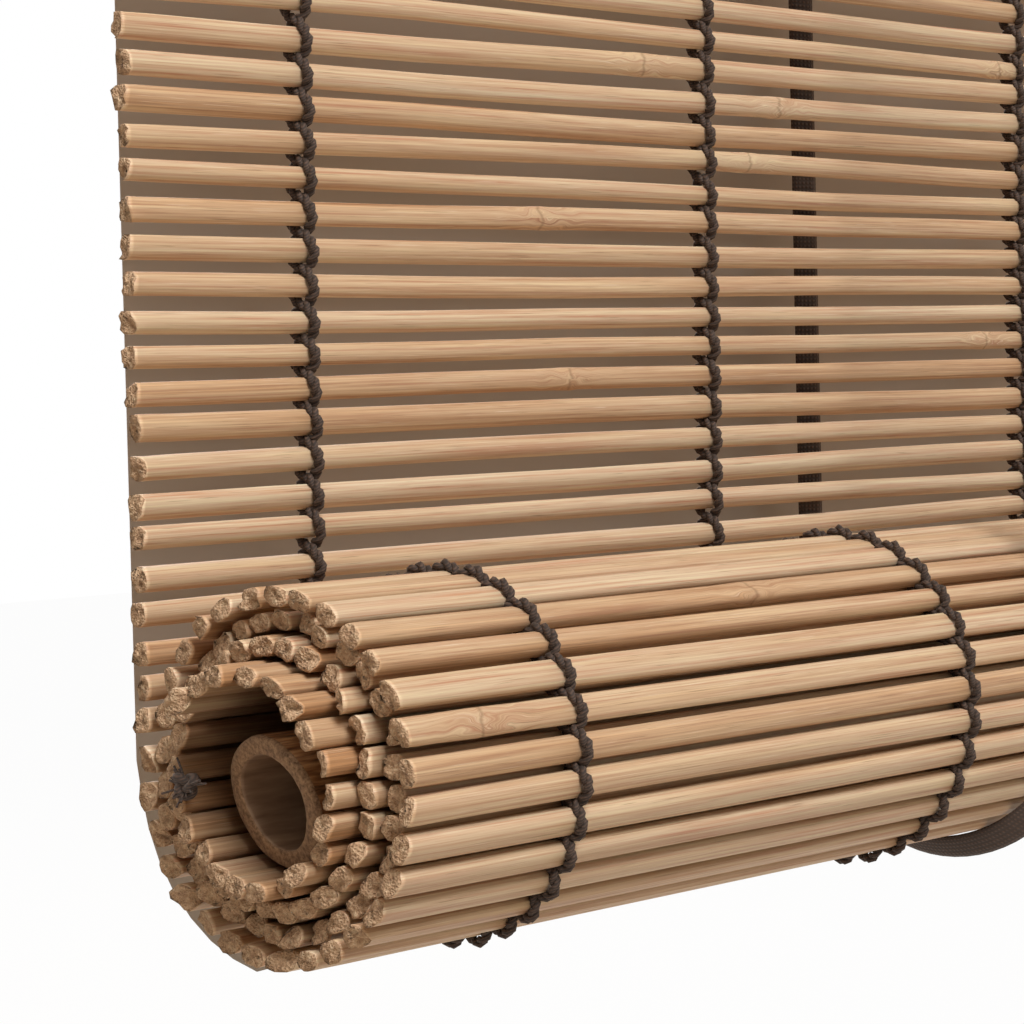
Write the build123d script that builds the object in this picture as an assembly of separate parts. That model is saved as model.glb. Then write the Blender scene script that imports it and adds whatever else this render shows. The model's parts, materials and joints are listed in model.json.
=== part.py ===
from build123d import *
from math import acos, atan2, cos, hypot, pi, radians, sin
import os

# Bamboo roll up blind, half rolled, hung from two ear plates on its head rail.
# Millimetres. X runs along the blind, Y points to the wall, Z is up.
# The origin lies midway between the two hanging holes, on the rear face of the ear plates.

# Reed mat
blind_width = 600.0
reed_height = 3.4
reed_depth = 2.8
reed_corner = 0.7
reed_pitch = 4.9
neck_depth = 1.2
hang_length = 368.0

# Warp threads, woven across the reeds
warp_count = 7
warp_inset = 32.0
thread_width = 1.4
thread_depth = 0.8

# Roll of the mat
roll_radius = 25.2
turn_spacing = 3.2
roll_turns = 3.9
inner_reed_pitch = 4.1
telescoped_turns = 1.1
telescope_shift = 5.0
thread_turns = 0.85

# Bamboo tube lying loose in the roll
tube_diameter = 18.4
tube_wall = 2.7
tube_length = 590.0
tube_proud = 4.0
tube_knot_place = 0.62
tube_knot_swell = 0.3
tube_knot_width = 7.0
tube_bed = 0.2

# Head rail and the batten that clamps the mat to it
rail_depth = 46.0
rail_height = 22.0
rail_round = 2.0
batten_depth = 10.0
clamp_margin = 2.0
clamp_screw_count = 3
clamp_screw_inset = 82.0

# Ear plates
ear_inset = 50.0
ear_width = 16.0
ear_thickness = 1.5
ear_rise = 9.0
ear_overlap = 18.0
ear_screw_edge = 5.0
ear_screw_step = 9.0
hanging_hole = 5.0

# Lift tapes
tape_inset = 151.0
tape_width = 6.0
tape_thickness = 0.8
tape_gap = 0.3
tape_rub = 0.05
tape_tail = 9.0
tape_splice = 0.01
twist_length = 70.0
twist_steps = 6

# Pulleys under the rail
sheave_groove_diameter = 14.0
sheave_flange_diameter = 18.0
sheave_flange = 0.9
axle_diameter = 3.0
running_clearance = 0.05
side_clearance = 0.3
sheet_thickness = 1.2
pulley_front_inset = 10.3
pulley_plate_length = 34.0
cheek_length = 14.0
cheek_below_axle = 5.0
cheek_corner = 4.0
rivet_head_diameter = 4.8
rivet_head_height = 0.8

# Cord lock at the right end of the rail
lock_inset = 46.0
lock_length = 52.0
lock_roller_diameter = 10.0
cam_radius = 8.0
cam_hub_radius = 4.0
cam_drop = 6.0
cam_lobe_angle = 70.0
cam_rise = 0.6
cam_fall = 2.0
cam_tail_length = 8.0
cam_tail_height = 6.0
cam_teeth = 5
cam_tooth_depth = 0.7
lock_end_inset = 2.0
lock_margin = 1.0
lock_corner = 3.0

# Screws
screw_diameter = 3.0
screw_head_diameter = 6.0
screw_head_height = 1.2
screw_length = 14.0
screw_edge = 4.5
ear_screw_length = 9.0
clamp_screw_length = 28.0
pilot_clearance = 0.02

body_gap = 0.3

# Places worked out from the sizes above
head_top = -ear_rise
head_bottom = head_top - rail_height
axis_z = head_bottom - hang_length
batten_front = -ear_thickness - batten_depth
mat_y = batten_front - reed_depth / 2
rail_back = batten_front - reed_depth
rail_front = rail_back - rail_depth
axis_y = mat_y - roll_radius
roll_outside = roll_radius + reed_depth / 2
sling_inside = roll_outside + body_gap
left_end = -blind_width / 2
right_end = blind_width / 2
warp_step = (blind_width - 2 * warp_inset) / (warp_count - 1)
warp_places = [left_end + warp_inset + warp_step * i for i in range(warp_count)]
groove_radius = sheave_groove_diameter / 2
flange_radius = sheave_flange_diameter / 2
tape_bend = groove_radius + tape_gap + tape_thickness / 2
sheave_width = tape_width + 2 * body_gap + 2 * sheave_flange
pulley_y = rail_front + pulley_front_inset
pulley_z = head_bottom - sheet_thickness - side_clearance - flange_radius
tape_places = [left_end + tape_inset, right_end - tape_inset]


def block(x0, x1, y0, y1, z0, z1):
    """A box between two corners."""
    return Pos((x0 + x1) / 2, (y0 + y1) / 2, (z0 + z1) / 2) * Box(x1 - x0, y1 - y0, z1 - z0)


def rod_y(radius, x, z, y0, y1):
    """A round bar along Y."""
    return Pos(x, (y0 + y1) / 2, z) * Rot(90, 0, 0) * Cylinder(radius, abs(y1 - y0))


def prism_x(points, x0, x1):
    """A solid with the outline of (y, z) points, from x0 to x1."""
    outline = Polyline([(x0, y, z) for y, z in points], close=True)
    return extrude(make_face(outline), amount=x1 - x0, dir=(1, 0, 0))


def prism_y(points, y0, y1):
    """A solid with the outline of (x, z) points, from y0 to y1."""
    outline = Polyline([(x, y0, z) for x, z in points], close=True)
    return extrude(make_face(outline), amount=y1 - y0, dir=(0, 1, 0))


def reed_side(side):
    """Half a reed's outline as (along, across) points, on one side of the mat."""
    along = reed_height / 2
    deep = reed_depth / 2
    neck = neck_depth / 2
    run = along - reed_corner
    return [(-along, side * neck), (-run, side * deep), (run, side * deep), (along, side * neck)]


def countersunk(length, shank):
    """A cone from the head's rim to the shank, and the shank down to its end."""
    head = screw_head_diameter / 2
    neck = -screw_head_height
    profile = Polyline((0, 0), (head, 0), (shank, neck), (shank, -length), (0, -length), close=True)
    return revolve(make_face(Plane.XZ * profile), Axis.Z)


def screw(length):
    """A flat headed screw that points along -Z from the plane of its head."""
    return countersunk(length, screw_diameter / 2)


def screw_hole(length):
    """The seat and pilot hole that a screw fits."""
    return countersunk(length, screw_diameter / 2 + pilot_clearance)


# Hanging mat: one ridged wall, cut through between its reeds, joined by the outer warps
def hanging_rows():
    """Heights of the reeds' centres, from the lowest up."""
    first = axis_z + reed_pitch
    count = int((head_top - clamp_margin - reed_height / 2 - first) / reed_pitch) + 1
    return [first + reed_pitch * i for i in range(count)]


def make_hanging_mat():
    rows = hanging_rows()
    front = []
    back = []
    for z in rows:
        front += [(mat_y + across, z + along) for along, across in reed_side(-1)]
        back += [(mat_y + across, z + along) for along, across in reed_side(1)]
    wall = prism_x(front + back[::-1], left_end, right_end)
    inner = warp_inset + thread_width / 2
    outer = warp_inset - thread_width / 2
    spans = [
        (left_end, left_end + outer),
        (left_end + inner, right_end - inner),
        (right_end - outer, right_end),
    ]
    gaps = []
    for z in rows[:-1]:
        low = z + reed_height / 2
        high = z + reed_pitch - reed_height / 2
        gaps += [block(x0, x1, mat_y - reed_depth, mat_y + reed_depth, low, high) for x0, x1 in spans]
    holes = [clamp_screw_spot(x) * screw_hole(clamp_screw_length) for x in clamp_screw_places()]
    return wall - gaps - holes


def make_warp_thread(place):
    """The front and rear strands of one warp, from the rail down to the roll."""
    x0 = place - thread_width / 2
    x1 = place + thread_width / 2
    front = mat_y - reed_depth / 2
    back = mat_y + reed_depth / 2
    low = hanging_rows()[0] - reed_height / 2
    return Compound(
        [
            block(x0, x1, front - thread_depth, front, low, head_bottom),
            block(x0, x1, back, back + thread_depth, low, head_bottom),
        ]
    )


# Roll: the mat's turns as one spiral with a ridge for each reed
def spiral_radius(angle):
    return roll_radius - turn_spacing * angle / (2 * pi)


def roll_reed_angles():
    """Angles of the rolled reeds, from the wall side down, round the front and inwards."""
    angles = [0.0]
    while True:
        pitch = reed_pitch if angles[-1] < 2 * pi else inner_reed_pitch
        following = angles[-1] + pitch / spiral_radius(angles[-1])
        if following > roll_turns * 2 * pi:
            return angles
        angles.append(following)


def rolled(angle, along, across):
    """A point of a rolled reed, as (y, z)."""
    reach = spiral_radius(angle) + across
    return (
        axis_y + reach * cos(angle) - along * sin(angle),
        axis_z - reach * sin(angle) - along * cos(angle),
    )


def roll_outline(angles):
    outside = []
    inside = []
    for angle in angles:
        outside += [rolled(angle, along, across) for along, across in reed_side(1)]
        inside += [rolled(angle, along, across) for along, across in reed_side(-1)]
    return outside + inside[::-1]


def make_mat_roll():
    angles = roll_reed_angles()
    split = (roll_turns - telescoped_turns) * 2 * pi
    outer = [a for a in angles if a < split]
    inner = [a for a in angles if a >= outer[-1]]
    wall = prism_x(roll_outline(outer), left_end, right_end)
    pushed = prism_x(roll_outline(inner), left_end - telescope_shift, right_end - telescope_shift)
    return wall + pushed


def make_roll_threads():
    """The warp threads where they lie over the outer turn."""
    last = thread_turns * 2 * pi
    angles = [a for a in roll_reed_angles() if a < last]
    run = reed_height / 2 - reed_corner
    deep = reed_depth / 2
    under = []
    over = []
    for angle in angles:
        under += [rolled(angle, -run, deep), rolled(angle, run, deep)]
        over += [rolled(angle, 0, deep + thread_depth)]
    outline = under + over[::-1]
    half = thread_width / 2
    return Compound([prism_x(outline, x - half, x + half) for x in warp_places])


def tube_drop():
    """How far the tube lies under the roll's axis, so that its knot rests on the innermost turn."""
    widest = tube_diameter / 2 + tube_knot_swell
    innermost = (roll_turns - 1) * 2 * pi
    drops = []
    for angle in roll_reed_angles():
        if angle > innermost and sin(angle) > tube_bed:
            drops.append((spiral_radius(angle) - reed_depth / 2 - widest) / sin(angle))
    return min(drops)


def make_core_tube():
    outside = tube_diameter / 2
    bore = outside - tube_wall
    start = left_end - tube_proud
    end = start + tube_length
    knot = start + tube_length * tube_knot_place
    half = tube_knot_width / 2
    wall = tube_wall / 2
    profile = Polyline(
        (start, bore),
        (start, outside),
        (knot - half, outside),
        (knot, outside + tube_knot_swell),
        (knot + half, outside),
        (end, outside),
        (end, bore),
        (knot + wall, bore),
        (knot + wall, 0),
        (knot - wall, 0),
        (knot - wall, bore),
        close=True,
    )
    tube = revolve(make_face(Plane.XZ * profile), Axis.X)
    return Pos(0, axis_y, axis_z - tube_drop()) * tube


# Head rail, batten and ear plates
def clamp_screw_places():
    first = left_end + clamp_screw_inset
    step = (blind_width - 2 * clamp_screw_inset) / (clamp_screw_count - 1)
    return [first + step * i for i in range(clamp_screw_count)]


def ear_places():
    return [left_end + ear_inset, right_end - ear_inset]


def clamp_screw_spot(x):
    """Where a clamping screw enters the rear of the batten, pointing to the front."""
    return Pos(x, -ear_thickness, (head_top + head_bottom) / 2) * Rot(-90, 0, 0)


def ear_screw_spots():
    """Where the ear plates' screws enter, two in each plate."""
    high = head_top - ear_screw_edge
    return [Pos(x, 0, z) * Rot(-90, 0, 0) for x in ear_places() for z in (high, high - ear_screw_step)]


def under_rail(x, y):
    """Where a screw enters a plate under the rail, pointing up."""
    return Pos(x, y, head_bottom - sheet_thickness) * Rot(180, 0, 0)


def pulley_screw_spots():
    reach = pulley_plate_length / 2 - screw_edge
    return [under_rail(x + side * reach, pulley_y) for x in pulley_places() for side in (-1, 1)]


def lock_screw_spots():
    reach = lock_length / 2 - screw_edge
    return [under_rail(lock_x() + side * reach, pulley_y) for side in (-1, 1)]


def make_head_rail():
    rail = block(left_end, right_end, rail_front, rail_back, head_bottom, head_top)
    long_edges = rail.edges().filter_by(Axis.X).sort_by(Axis.Y)[:2]
    rail = fillet(long_edges, rail_round)
    for spot in pulley_screw_spots() + lock_screw_spots():
        rail -= spot * screw_hole(screw_length)
    for x in clamp_screw_places():
        rail -= clamp_screw_spot(x) * screw_hole(clamp_screw_length)
    return rail


def make_back_batten():
    batten = block(left_end, right_end, batten_front, -ear_thickness, head_bottom, head_top)
    for x in tape_places:
        half = tape_width / 2 + side_clearance
        batten -= block(x - half, x + half, batten_front, tape_back(), head_bottom, head_top)
    for spot in ear_screw_spots():
        batten -= spot * screw_hole(ear_screw_length)
    for x in clamp_screw_places():
        batten -= clamp_screw_spot(x) * screw_hole(clamp_screw_length)
    return batten


def make_ear_plate(x):
    half = ear_width / 2
    plate = block(x - half, x + half, -ear_thickness, 0, head_top - ear_overlap, 0)
    plate += rod_y(half, x, 0, -ear_thickness, 0)
    plate -= rod_y(hanging_hole / 2, x, 0, -ear_thickness, 0)
    for spot in ear_screw_spots():
        plate -= spot * screw_hole(screw_length)
    return plate


# Lift tapes
def tape_front():
    return axis_y + sling_inside


def tape_back():
    return tape_front() + tape_thickness


def make_tape_rear(x):
    """The rear run, from the batten's groove straight down behind the mat."""
    half = tape_width / 2
    return block(x - half, x + half, tape_front(), tape_back(), axis_z, head_top - clamp_margin)


def tape_lean():
    """The angle by which the front run leans back from upright."""
    reach = sling_inside + tape_thickness / 2
    across = axis_y - pulley_y
    up = pulley_z - axis_z
    return pi / 2 - acos(reach / hypot(across, up)) - atan2(across, up)


def make_tape_sling(x):
    """The bend under the roll, from the rear run round to the front run."""
    inside = sling_inside
    outside = inside + tape_thickness
    sweep_angle = pi + tape_lean()

    def at(radius, angle):
        return (axis_y + radius * cos(angle), axis_z - radius * sin(angle))

    face = make_face(
        [
            ThreePointArc(at(inside, 0), at(inside, sweep_angle / 2), at(inside, sweep_angle)),
            Line(at(inside, sweep_angle), at(outside, sweep_angle)),
            ThreePointArc(at(outside, sweep_angle), at(outside, sweep_angle / 2), at(outside, 0)),
            Line(at(outside, 0), at(inside, 0)),
        ]
    )
    start = Plane((x - tape_width / 2, 0, 0), x_dir=(0, 1, 0), z_dir=(1, 0, 0))
    return extrude(start * face, amount=tape_width, dir=(1, 0, 0))


def make_tape_front(x):
    """The front run: flat against the roll, turned a quarter near the top to lie on its pulley."""
    lean = tape_lean()
    reach = sling_inside + tape_thickness / 2
    foot = Vector(x, axis_y - reach * cos(lean), axis_z + reach * sin(lean))
    up = Vector(0, sin(lean), cos(lean))
    head = Vector(x, pulley_y, pulley_z - tape_splice)
    straight = (head - foot).length - twist_length
    section = Rectangle(tape_width, tape_thickness)
    run = extrude(Plane(foot, x_dir=(1, 0, 0), z_dir=up) * section, amount=straight, dir=up)
    back = Vector(0, cos(lean), -sin(lean))
    for step in range(twist_steps):
        ends = []
        for share in (step / twist_steps, (step + 1) / twist_steps):
            turn = share * pi / 2
            spot = foot + up * (straight + twist_length * share)
            wide = Vector(1, 0, 0) * cos(turn) + back * sin(turn)
            ends.append(Plane(spot, x_dir=wide, z_dir=up) * section)
        run += loft(ends, ruled=True)
    return run


def lock_x():
    return right_end - lock_inset


def lock_bend():
    return lock_roller_diameter / 2 + tape_gap + tape_thickness / 2


def lock_roller_z():
    return pulley_z + tape_bend - lock_bend()


def tape_stack(x):
    """How much higher a tape reaches the lock than the lower one, which it lies on."""
    if x > 0:
        return 0.0
    step = tape_thickness + tape_rub
    return step * (lock_x() - tape_places[0]) / (tape_places[1] - tape_places[0])


def make_tape_head(x):
    """The top run: over the pulley, along under the rail and down into the lock."""
    top = pulley_z + tape_bend
    lift = tape_stack(x)
    down = lock_x() + lock_bend() + lift
    path = FilletPolyline(
        (x, pulley_y, pulley_z - tape_splice),
        (x, pulley_y, top),
        (down, pulley_y, top + lift),
        (down, pulley_y, lock_roller_z() - tape_tail),
        radius=[tape_bend, lock_bend() + lift],
    )
    start = Plane(path @ 0, x_dir=(0, 1, 0), z_dir=path % 0)
    return sweep(start * Rectangle(tape_width, tape_thickness), path=path)


# Pulleys
def pulley_places():
    return [x + tape_bend for x in tape_places]


def make_sheave(radius, flange, bore):
    """A grooved wheel about the Y axis."""
    half = sheave_width / 2
    floor = half - sheave_flange
    profile = Polyline(
        (bore, -half),
        (flange, -half),
        (flange, -half + sheave_flange / 2),
        (radius, -floor),
        (radius, floor),
        (flange, half - sheave_flange / 2),
        (flange, half),
        (bore, half),
        close=True,
    )
    return revolve(make_face(profile), Axis.Y)


def make_pulley(x):
    bore = axle_diameter / 2 + running_clearance
    return Pos(x, pulley_y, pulley_z) * make_sheave(groove_radius, flange_radius, bore)


def cheek_faces():
    """Distances of a bracket's cheeks from its middle, inside and outside."""
    inside = sheave_width / 2 + side_clearance
    return inside, inside + sheet_thickness


def make_axle(x, z):
    """A rivet through both cheeks, with a head on each."""
    outside = cheek_faces()[1]
    rivet = rod_y(axle_diameter / 2, x, z, pulley_y - outside, pulley_y + outside)
    for side in (-1, 1):
        face = pulley_y + side * outside
        rivet += rod_y(rivet_head_diameter / 2, x, z, face, face + side * rivet_head_height)
    return rivet


def cheek(x0, x1, low, corner, holes, side):
    """A sheet cheek that hangs from a top plate, round at its lower corners, with its rivet holes."""
    inside, outside = cheek_faces()
    y0, y1 = sorted((pulley_y + side * inside, pulley_y + side * outside))
    sheet = block(x0, x1, y0, y1, low, head_bottom - sheet_thickness)
    lower = sheet.edges().filter_by(Axis.Y).sort_by(Axis.Z)[:2]
    sheet = fillet(lower, corner)
    for hole_x, hole_z in holes:
        sheet -= rod_y(axle_diameter / 2 + pilot_clearance, hole_x, hole_z, y0, y1)
    return sheet


def make_pulley_bracket(x):
    outside = cheek_faces()[1]
    plate_half = pulley_plate_length / 2
    plate_low = head_bottom - sheet_thickness
    front = pulley_y - outside
    bracket = block(x - plate_half, x + plate_half, front, pulley_y + outside, plate_low, head_bottom)
    half = cheek_length / 2
    low = pulley_z - cheek_below_axle
    for side in (-1, 1):
        bracket += cheek(x - half, x + half, low, cheek_corner, [(x, pulley_z)], side)
    for spot in pulley_screw_spots():
        bracket -= spot * screw_hole(screw_length)
    return bracket


# Cord lock
def cam_spot():
    """The cam's pivot, one cam radius past the tapes."""
    outer_tape = lock_x() + lock_bend() + tape_stack(tape_places[0]) + tape_thickness / 2
    return outer_tape + body_gap + cam_radius, lock_roller_z() - cam_drop


def lock_low():
    return cam_spot()[1] - cam_radius - lock_margin


def make_lock_body():
    outside = cheek_faces()[1]
    half = lock_length / 2
    x = lock_x()
    plate_low = head_bottom - sheet_thickness
    body = block(x - half, x + half, pulley_y - outside, pulley_y + outside, plate_low, head_bottom)
    holes = [(x, lock_roller_z()), cam_spot()]
    start = x - lock_roller_diameter / 2 - lock_end_inset
    for side in (-1, 1):
        body += cheek(start, x + half - lock_end_inset, lock_low(), lock_corner, holes, side)
    for spot in lock_screw_spots():
        body -= spot * screw_hole(screw_length)
    return body


def make_lock_roller():
    bore = axle_diameter / 2 + running_clearance
    radius = lock_roller_diameter / 2
    half = sheave_width / 2
    roller = rod_y(radius, lock_x(), lock_roller_z(), pulley_y - half, pulley_y + half)
    return roller - rod_y(bore, lock_x(), lock_roller_z(), pulley_y - half, pulley_y + half)


def make_lock_cam():
    """A toothed cam: its lobe shrinks upwards, and a tail outweighs it so that it falls shut."""
    x, z = cam_spot()
    steps = 2 * cam_teeth
    outline = [(x, z)]
    for step in range(steps + 1):
        share = step / steps
        angle = radians(180 + cam_lobe_angle * (0.5 - share))
        reach = cam_radius + cam_rise - cam_fall * share - (cam_tooth_depth if step % 2 else 0)
        outline.append((x + reach * cos(angle), z + reach * sin(angle)))
    half = sheave_width / 2
    y0 = pulley_y - half
    y1 = pulley_y + half
    cam = prism_y(outline, y0, y1)
    cam += rod_y(cam_hub_radius, x, z, y0, y1)
    cam += block(x, x + cam_tail_length, y0, y1, z - cam_tail_height / 2, z + cam_tail_height / 2)
    bore = axle_diameter / 2 + running_clearance
    return cam - rod_y(bore, x, z, y0, y1)


def in_place(spots, length):
    """One screw at each spot, as separate solids of one group."""
    return Compound([spot * screw(length) for spot in spots])


def build():
    """Every piece by its node's name."""
    pieces = {
        "hanging_mat": make_hanging_mat(),
        "mat_roll": make_mat_roll(),
        "roll_warp_threads": make_roll_threads(),
        "core_tube": make_core_tube(),
        "head_rail": make_head_rail(),
        "back_batten": make_back_batten(),
        "lock_body": make_lock_body(),
        "lock_roller": make_lock_roller(),
        "lock_roller_axle": make_axle(lock_x(), lock_roller_z()),
        "lock_cam": make_lock_cam(),
        "lock_cam_axle": make_axle(*cam_spot()),
        "clamp_screws": in_place([clamp_screw_spot(x) for x in clamp_screw_places()], clamp_screw_length),
        "ear_screws": in_place(ear_screw_spots(), ear_screw_length),
        "pulley_screws": in_place(pulley_screw_spots(), screw_length),
        "lock_screws": in_place(lock_screw_spots(), screw_length),
    }
    for number, place in enumerate(warp_places, 1):
        pieces[f"warp_thread_{number}"] = make_warp_thread(place)
    for side, ear, tape, sheave in zip(("left", "right"), ear_places(), tape_places, pulley_places()):
        pieces[f"ear_plate_{side}"] = make_ear_plate(ear)
        pieces[f"lift_tape_{side}_rear"] = make_tape_rear(tape)
        pieces[f"lift_tape_{side}_sling"] = make_tape_sling(tape)
        pieces[f"lift_tape_{side}_front"] = make_tape_front(tape)
        pieces[f"lift_tape_{side}_head"] = make_tape_head(tape)
        pieces[f"pulley_{side}"] = make_pulley(sheave)
        pieces[f"pulley_axle_{side}"] = make_axle(sheave, pulley_z)
        pieces[f"pulley_bracket_{side}"] = make_pulley_bracket(sheave)
    return pieces


os.makedirs("parts", exist_ok=True)
for name, piece in build().items():
    export_step(piece, f"parts/{name}.step")
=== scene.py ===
# %% [markdown]
# # Bamboo roll up blind, half rolled
# A blind like this is a mat of split bamboo reeds, tied side by side with twisted warp threads. Two woven
# tapes run down behind it, under the roll and up its front, and lift the roll when their ends are pulled.
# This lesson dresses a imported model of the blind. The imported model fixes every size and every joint, and this
# script adds what the eye sees: single reeds with chopped ends, plied threads, woven tape and their finishes.

# %% Load the frame
import json
import math

import bmesh
import bpy
import numpy as np
from mathutils import Matrix, Vector

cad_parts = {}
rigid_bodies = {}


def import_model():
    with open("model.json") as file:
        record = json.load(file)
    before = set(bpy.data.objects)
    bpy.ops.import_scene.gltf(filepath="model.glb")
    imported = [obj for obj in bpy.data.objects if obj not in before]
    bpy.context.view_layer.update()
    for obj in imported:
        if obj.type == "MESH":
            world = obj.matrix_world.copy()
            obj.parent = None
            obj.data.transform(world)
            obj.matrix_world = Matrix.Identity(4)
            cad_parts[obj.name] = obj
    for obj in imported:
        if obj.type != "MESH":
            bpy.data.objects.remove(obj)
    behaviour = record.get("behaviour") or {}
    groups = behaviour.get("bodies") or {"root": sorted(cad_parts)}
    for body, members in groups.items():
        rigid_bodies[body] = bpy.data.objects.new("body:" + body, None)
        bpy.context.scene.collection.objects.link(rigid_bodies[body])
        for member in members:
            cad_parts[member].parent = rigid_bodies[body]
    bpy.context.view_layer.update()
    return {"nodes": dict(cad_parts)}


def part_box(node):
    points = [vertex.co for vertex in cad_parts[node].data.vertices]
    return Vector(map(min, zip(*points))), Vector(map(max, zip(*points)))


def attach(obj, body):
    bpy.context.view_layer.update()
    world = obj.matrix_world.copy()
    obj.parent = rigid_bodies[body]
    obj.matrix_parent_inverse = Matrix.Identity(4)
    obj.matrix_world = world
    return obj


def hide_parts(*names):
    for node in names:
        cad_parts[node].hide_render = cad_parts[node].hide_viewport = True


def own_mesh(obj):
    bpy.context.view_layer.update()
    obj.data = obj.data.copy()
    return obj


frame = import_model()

MM = 0.001
rng = np.random.default_rng(11)

# %% [markdown]
# ## Measures of the blind
# The mat's thickness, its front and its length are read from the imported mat, so the reeds sit where the
# packed wall is. The spacing of the reeds and the spiral of the roll are not written in a box, so they are
# named here once, in millimetres.

# %% Measures in millimetres
def box_mm(node):
    """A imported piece's lowest and highest corner in millimetres."""
    return [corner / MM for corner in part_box(node)]


mat_low, mat_high = box_mm("hanging_mat")
LEFT, RIGHT = mat_low.x, mat_high.x
MAT_Y = (mat_low.y + mat_high.y) / 2
REED_DEPTH = mat_high.y - mat_low.y
REED_HEIGHT = 3.4
REED_PITCH = 4.9
INNER_PITCH = 4.1
TURN_SPACING = 3.2
ROLL_TURNS = 3.9
ROLL_RADIUS = 25.2
ROLL_OUTSIDE = ROLL_RADIUS + REED_DEPTH / 2
AXIS_Y = MAT_Y - ROLL_RADIUS
AXIS_Z = mat_low.z + REED_HEIGHT / 2 - REED_PITCH
RAIL_Z = box_mm("head_rail")[0].z
ROW_COUNT = round((mat_high.z - mat_low.z - REED_HEIGHT) / REED_PITCH) + 1
WARP_PLACES = [sum(c.x for c in box_mm(f"warp_thread_{i}")) / 2 for i in range(1, 8)]
print("reeds hanging:", ROW_COUNT, "roll axis:", round(AXIS_Y, 2), round(AXIS_Z, 2))

# %% [markdown]
# ## Small helpers for finishes
# Colours are picked as sRGB hex values, as a paint chart gives them, and one function turns them to the
# linear values that a shader needs. Another adds a node with its settings and its links in one line.

# %% Colour and node helpers
def rgb(code):
    """A linear colour from an sRGB hex value such as #dec6aa."""
    parts = [int(code[i:i + 2], 16) / 255 for i in (1, 3, 5)]
    return tuple(p / 12.92 if p <= 0.04045 else ((p + 0.055) / 1.055) ** 2.4 for p in parts) + (1.0,)


def add_node(tree, kind, sockets=None, out=0, stops=(), **settings):
    """A shader node with its settings, what goes into its sockets, and a ramp's stops as (place, hex colour)."""
    node = tree.nodes.new(kind)
    for name, value in settings.items():
        setattr(node, name, value)
    for socket, value in (sockets or {}).items():
        if isinstance(value, bpy.types.NodeSocket):
            tree.links.new(value, node.inputs[socket])
        else:
            node.inputs[socket].default_value = value
    for number, (place, code) in enumerate(stops):
        if number > 1:
            node.color_ramp.elements.new(place)
        node.color_ramp.elements[min(number, len(node.color_ramp.elements) - 1)].position = place
        node.color_ramp.elements[min(number, len(node.color_ramp.elements) - 1)].color = rgb(code)
    return node.outputs[out]


def new_finish(name, **settings):
    """A new finish, its node tree and its Principled shader, whose sockets take the constant settings."""
    material = bpy.data.materials.new(name)
    material.use_nodes = True
    shader = material.node_tree.nodes["Principled BSDF"]
    for socket, value in settings.items():
        shader.inputs[socket.replace("_", " ")].default_value = value
    return material, material.node_tree, shader


# %% [markdown]
# ## Camera, light and floor
# The photograph is a close view of the lower left corner, taken with a long lens from the left and a little
# above the roll. The lens and place below come from fitting a camera to the reeds and threads. The light is a
# large soft lamp above the front and a weak one from the left, as in a product studio.

# %% Camera
SENSOR_MM = 36.0
PHOTO_PIXELS = 1024
FOCAL_PIXELS = 3261
YAW, PITCH, ROLL = (math.radians(a) for a in (47.72, -2.47, 1.36))
EYE = Vector((-587.1, -341.5, -348.2)) * MM

ahead = Vector((math.sin(YAW) * math.cos(PITCH), math.cos(YAW) * math.cos(PITCH), math.sin(PITCH)))
level = Vector((math.cos(YAW), -math.sin(YAW), 0))
above = level.cross(ahead)
right = level * math.cos(ROLL) - above * math.sin(ROLL)
up = level * math.sin(ROLL) + above * math.cos(ROLL)
lens_data = bpy.data.cameras.new("camera")
lens_data.sensor_width = SENSOR_MM
lens_data.lens = FOCAL_PIXELS / PHOTO_PIXELS * SENSOR_MM
lens_data.clip_start = 0.01
camera = bpy.data.objects.new("camera", lens_data)
camera.matrix_world = Matrix.Translation(EYE) @ Matrix((right, up, -ahead)).transposed().to_4x4()
bpy.context.scene.collection.objects.link(camera)
bpy.context.scene.camera = camera
print("lens", round(lens_data.lens, 1), "mm")

# %% Lamps
def soft_lamp(name, place, aim, size, power, colour="#ffffff"):
    """A square area lamp that faces its aim."""
    data = bpy.data.lights.new(name, "AREA")
    data.size = size
    data.energy = power
    data.color = rgb(colour)[:3]
    lamp = bpy.data.objects.new(name, data)
    lamp.location = place
    lamp.rotation_euler = (Vector(aim) - Vector(place)).to_track_quat("-Z", "Y").to_euler()
    bpy.context.scene.collection.objects.link(lamp)


middle = (0, -0.03, -0.3)
soft_lamp("key_lamp", (-0.7, -1.3, 1.15), (-0.15, 0, -0.36), 0.9, 45, "#ffffff")
soft_lamp("left_lamp", (-1.8, -0.5, 0.0), middle, 1.2, 1.5)
soft_lamp("rear_lamp", (0.6, 1.6, 0.6), middle, 1.2, 24)

# %% World and a white that only the camera sees
world = bpy.data.worlds.new("studio")
world.use_nodes = True
tree = world.node_tree
soft_fill = tree.nodes["Background"]
soft_fill.inputs["Color"].default_value = rgb("#f3e2cc")
soft_fill.inputs["Strength"].default_value = 0.37
path = add_node(tree, "ShaderNodeLightPath", out="Is Camera Ray").node
seen = add_node(tree, "ShaderNodeMath", {0: path.outputs["Is Camera Ray"], 1: path.outputs["Is Glossy Ray"]},
                operation="MAXIMUM")
seen = add_node(tree, "ShaderNodeMath", {0: seen, 1: path.outputs["Is Transmission Ray"]}, operation="MAXIMUM")
white = add_node(tree, "ShaderNodeBackground", {"Color": rgb("#ffffff"), "Strength": 1.0})
both = add_node(tree, "ShaderNodeMixShader", {0: seen, 1: soft_fill.outputs[0], 2: white})
tree.links.new(both, tree.nodes["World Output"].inputs["Surface"])
bpy.context.scene.world = world

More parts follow.
